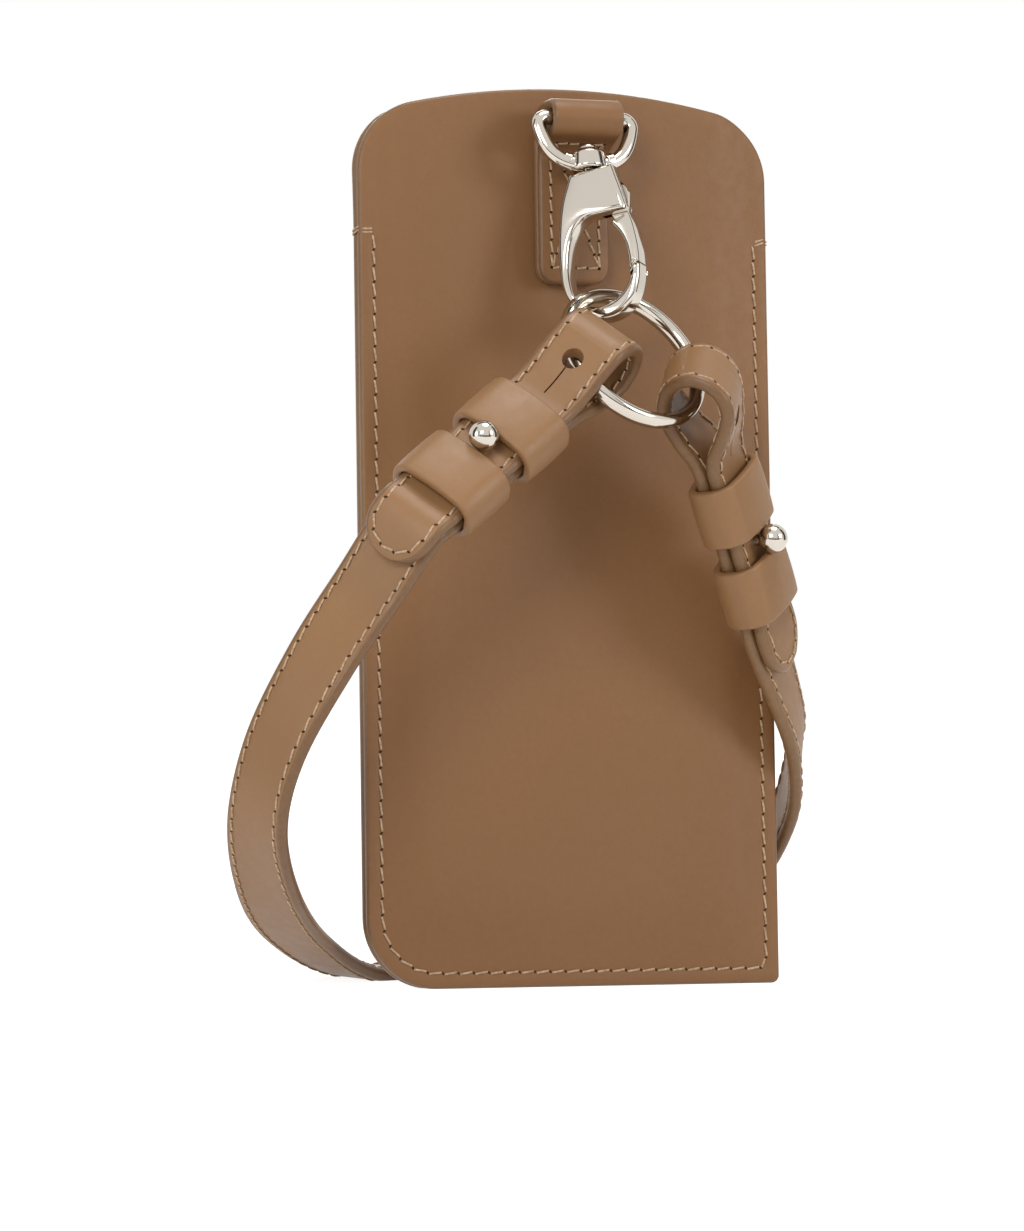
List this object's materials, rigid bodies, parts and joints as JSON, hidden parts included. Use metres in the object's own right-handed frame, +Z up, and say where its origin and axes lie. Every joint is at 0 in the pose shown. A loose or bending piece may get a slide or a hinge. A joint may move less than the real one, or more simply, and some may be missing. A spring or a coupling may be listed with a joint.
{
  "type": "mini bag",
  "caption": "Flat upright leather pouch with an open mouth, a swivel clasp with a sprung gate, an O-ring and a folded leather wrist strap with sliding keepers.",
  "frame": {"origin": "middle of the front panel's bottom edge, on the surface that the bag stands on", "axes": "+Z up, -Y out of the front panel towards the viewer, +X to the right as seen from the front; the pouch leans back five degrees about X"},
  "size_m": [0.1379, 0.0882, 0.1903],
  "materials": {
    "tan_leather": "smooth tan leather, semi-matte",
    "brown_lining": "leather flesh side, matte",
    "polished_nickel": "polished nickel plate",
    "spring_steel": "plain steel wire and pin"
  },
  "bodies": {
    "pouch": {"front_panel": "tan_leather", "rear_panel": "tan_leather", "tab_strip": "tan_leather"},
    "eye": {"clasp_eye": "polished_nickel"},
    "hook": {"swivel_post": "polished_nickel", "hook_body": "polished_nickel", "gate_pin": "spring_steel", "gate_spring": "spring_steel"},
    "gate": {"hook_gate": "polished_nickel"},
    "strap": {"strap_face_ply": "tan_leather", "strap_back_ply": "brown_lining", "stud_ball_left": "polished_nickel", "stud_ball_right": "polished_nickel", "stud_screw_left": "polished_nickel", "stud_screw_right": "polished_nickel"},
    "ring": {"o_ring": "polished_nickel"},
    "keeper_left_upper": {"keeper_left_upper": "tan_leather"},
    "keeper_left_lower": {"keeper_left_lower": "tan_leather"},
    "keeper_right_upper": {"keeper_right_upper": "tan_leather"},
    "keeper_right_lower": {"keeper_right_lower": "tan_leather"}
  },
  "joints": [
    {"name": "eye_swing", "type": "hinge", "parent": "pouch", "child": "eye", "pos_m": [0, 0.00251, 0.18248], "axis": [-1, 0, 0], "range_deg": [0, 8]},
    {"name": "hook_swivel", "type": "hinge", "parent": "eye", "child": "hook", "pos_m": [0, 0.00251, 0.18248], "axis": [0, -0.309, -0.9511], "range_deg": [-6, 20]},
    {"name": "gate_open", "type": "hinge", "parent": "hook", "child": "gate", "pos_m": [0.00421, -0.00719, 0.16624], "axis": [0.7071, 0.6725, -0.2185], "range_deg": [0, 24], "stiffness_Nm_per_rad": 0.003, "springref_deg": -20.05},
    {"name": "strap_hang", "type": "hinge", "parent": "eye", "child": "strap", "pos_m": [0.0011, -0.00971, 0.14486], "axis": [-1, 0, 0], "range_deg": [-8, 0]},
    {"name": "ring_spin", "type": "hinge", "parent": "strap", "child": "ring", "pos_m": [0.00382, -0.01861, 0.13184], "axis": [0.2851, -0.7625, 0.5808], "continuous": true},
    {"name": "keeper_left_upper_slide", "type": "slide", "parent": "strap", "child": "keeper_left_upper", "axis": [0.7639, 0.2739, 0.5843], "range_m": [0, 0.003]},
    {"name": "keeper_left_lower_slide", "type": "slide", "parent": "strap", "child": "keeper_left_lower", "axis": [-0.7639, -0.2739, -0.5843], "range_m": [0, 0.003]},
    {"name": "keeper_right_upper_slide", "type": "slide", "parent": "strap", "child": "keeper_right_upper", "axis": [-0.393, -0.2241, 0.8918], "range_m": [0, 0.003]},
    {"name": "keeper_right_lower_slide", "type": "slide", "parent": "strap", "child": "keeper_right_lower", "axis": [0.393, 0.2241, -0.8918], "range_m": [0, 0.003]}
  ],
  "couplings": [
    {"joint": "strap_hang", "follows": "eye_swing", "ratio": -1}
  ]
}
